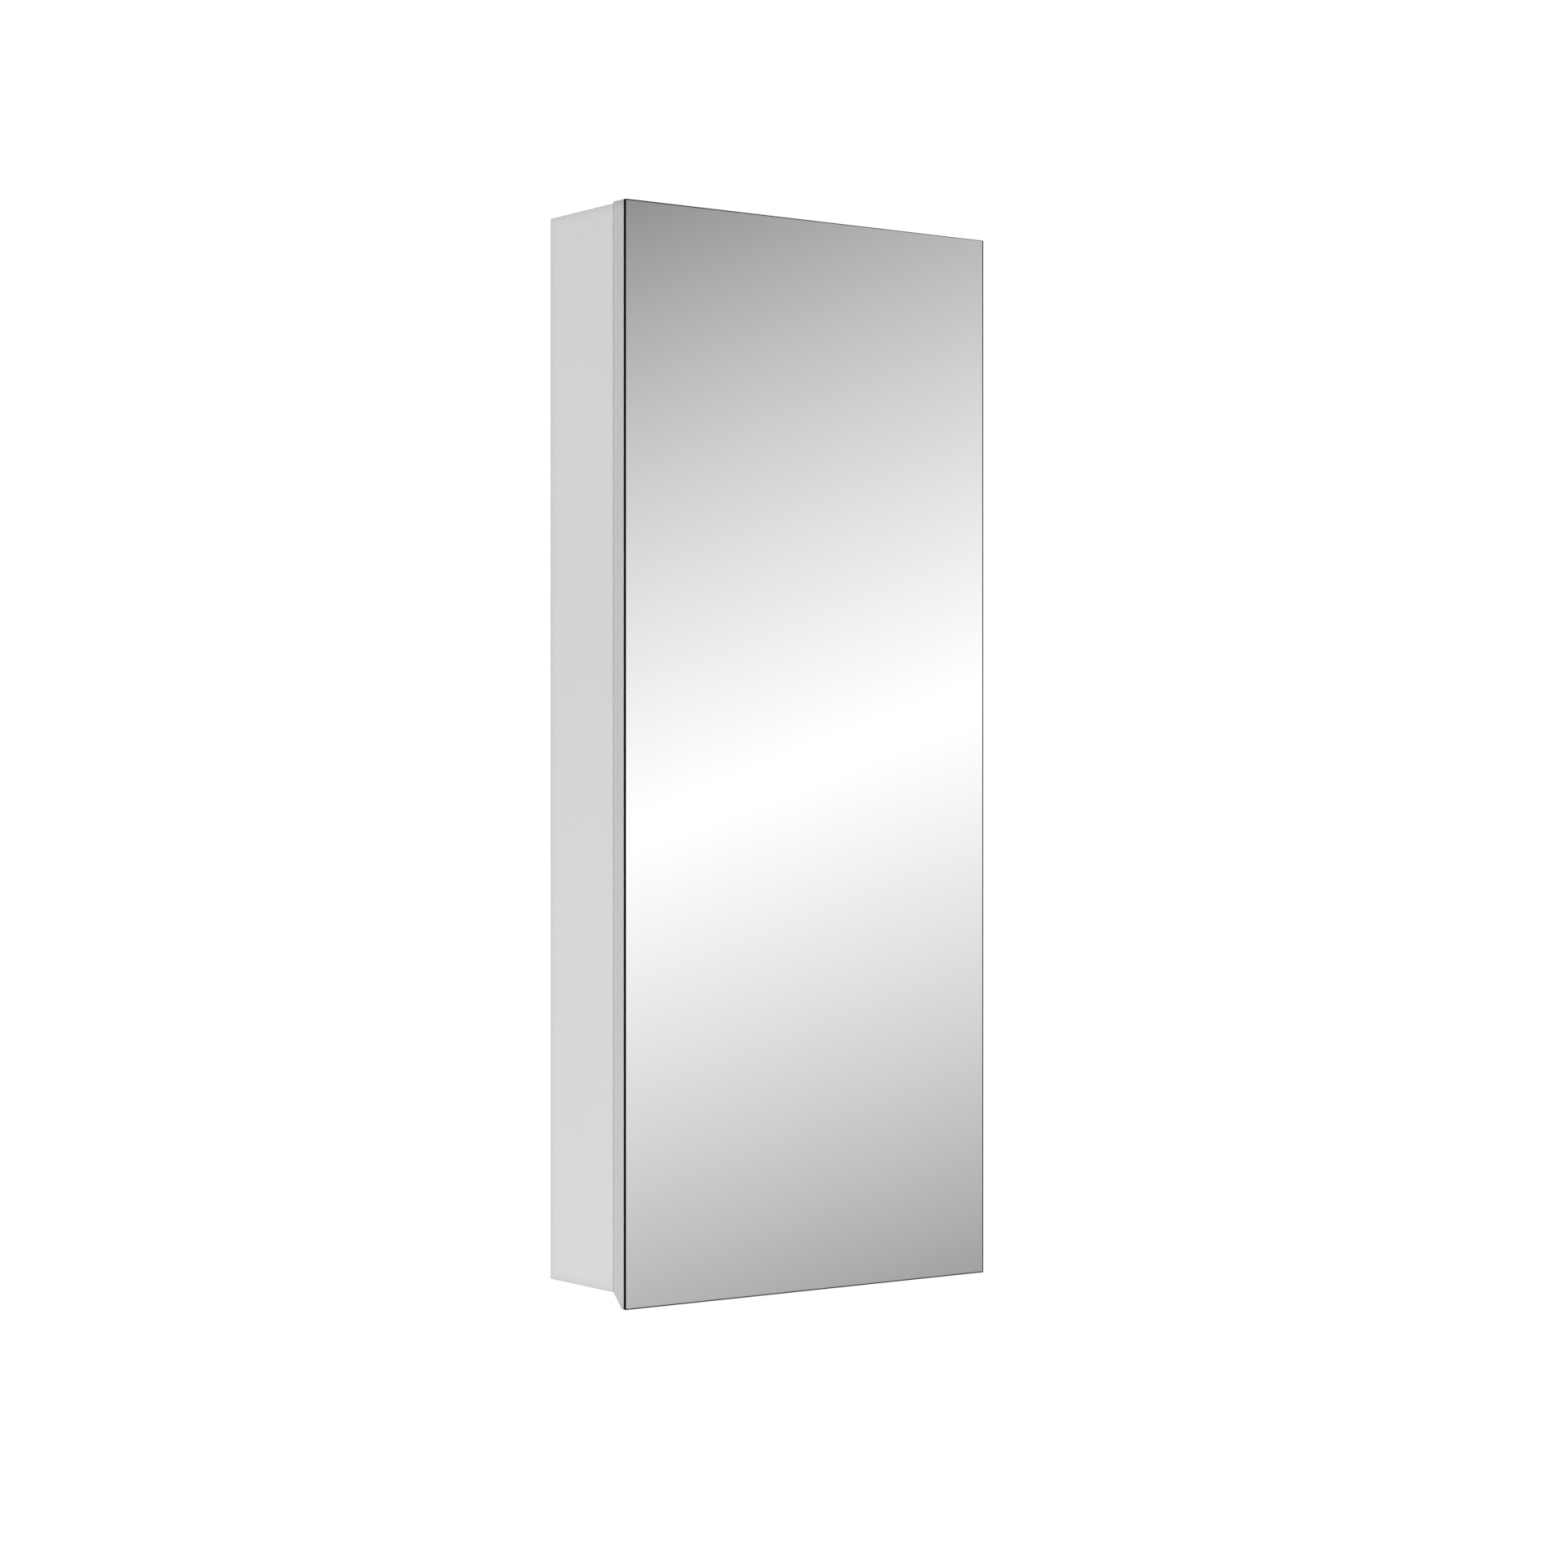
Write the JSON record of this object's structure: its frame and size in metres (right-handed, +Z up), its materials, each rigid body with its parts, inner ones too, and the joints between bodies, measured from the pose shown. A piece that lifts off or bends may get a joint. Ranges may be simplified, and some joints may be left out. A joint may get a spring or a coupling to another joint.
{
  "type": "medicine cabinet with mirror",
  "caption": "Tall shallow wall-hung bathroom cabinet: a full-height mirror door on a pivot hinge covers a white board casing with glass shelves on movable pegs.",
  "frame": {"origin": "centre of the casing's flat back, on the wall plane", "axes": "+X to the right as seen from the front, +Y into the wall, +Z up; the mirror faces -Y"},
  "size_m": [0.379, 0.1166, 0.9153],
  "materials": {
    "white_board": "white melamine-faced particle board, smooth satin",
    "white_hardboard": "white-faced hardboard, matt",
    "grey_board": "light grey foil-faced board, satin",
    "silvered_glass": "silvered float glass, ground edges",
    "shelf_glass": "clear float glass with polished green edges",
    "zinc_die_cast": "die-cast zinc, dull",
    "zinc_plated_steel": "zinc-plated steel, semi-bright",
    "nickel_plated_steel": "nickel plate, bright",
    "white_nylon": "moulded white nylon",
    "clear_polyurethane": "clear soft polyurethane"
  },
  "bodies": {
    "casing": {"back_panel": "white_hardboard", "bottom_panel": "white_board", "cam_bolt_bottom_left_front": "zinc_plated_steel", "cam_bolt_bottom_left_rear": "zinc_plated_steel", "cam_bolt_bottom_right_front": "zinc_plated_steel", "cam_bolt_bottom_right_rear": "zinc_plated_steel", "cam_bolt_top_left_front": "zinc_plated_steel", "cam_bolt_top_left_rear": "zinc_plated_steel", "cam_bolt_top_right_front": "zinc_plated_steel", "cam_bolt_top_right_rear": "zinc_plated_steel", "cam_lock_bottom_left_front": "zinc_die_cast", "cam_lock_bottom_left_rear": "zinc_die_cast", "cam_lock_bottom_right_front": "zinc_die_cast", "cam_lock_bottom_right_rear": "zinc_die_cast", "cam_lock_top_left_front": "zinc_die_cast", "cam_lock_top_left_rear": "zinc_die_cast", "cam_lock_top_right_front": "zinc_die_cast", "cam_lock_top_right_rear": "zinc_die_cast", "glass_shelf_1": "shelf_glass", "glass_shelf_2": "shelf_glass", "glass_shelf_3": "shelf_glass", "hanging_rail": "white_board", "hinge_pin_bottom": "zinc_plated_steel", "hinge_pin_top": "zinc_plated_steel", "hinge_plate_bottom": "zinc_plated_steel", "hinge_plate_top": "zinc_plated_steel", "magnet_catch_bottom": "white_nylon", "magnet_catch_top": "white_nylon", "plate_screw_bottom_front": "zinc_plated_steel", "plate_screw_bottom_rear": "zinc_plated_steel", "plate_screw_top_front": "zinc_plated_steel", "plate_screw_top_rear": "zinc_plated_steel", "shelf_peg_1_left_front": "nickel_plated_steel", "shelf_peg_1_left_rear": "nickel_plated_steel", "shelf_peg_1_right_front": "nickel_plated_steel", "shelf_peg_1_right_rear": "nickel_plated_steel", "shelf_peg_2_left_front": "nickel_plated_steel", "shelf_peg_2_left_rear": "nickel_plated_steel", "shelf_peg_2_right_front": "nickel_plated_steel", "shelf_peg_2_right_rear": "nickel_plated_steel", "shelf_peg_3_left_front": "nickel_plated_steel", "shelf_peg_3_left_rear": "nickel_plated_steel", "shelf_peg_3_right_front": "nickel_plated_steel", "shelf_peg_3_right_rear": "nickel_plated_steel", "side_panel_left": "white_board", "side_panel_right": "white_board", "thrust_washer": "white_nylon", "top_panel": "white_board"},
    "door": {"block_screw_bottom": "zinc_plated_steel", "block_screw_top": "zinc_plated_steel", "bumper_bottom": "clear_polyurethane", "bumper_top": "clear_polyurethane", "door_board": "grey_board", "hinge_block_bottom": "zinc_die_cast", "hinge_block_top": "zinc_die_cast", "mirror_glass": "silvered_glass", "strike_disc_bottom": "zinc_plated_steel", "strike_disc_top": "zinc_plated_steel"}
  },
  "joints": [
    {"name": "door_hinge", "type": "hinge", "parent": "casing", "child": "door", "pos_m": [0.1865, -0.1071, 0], "axis": [0, 0, 1], "range_deg": [0, 110]}
  ]
}
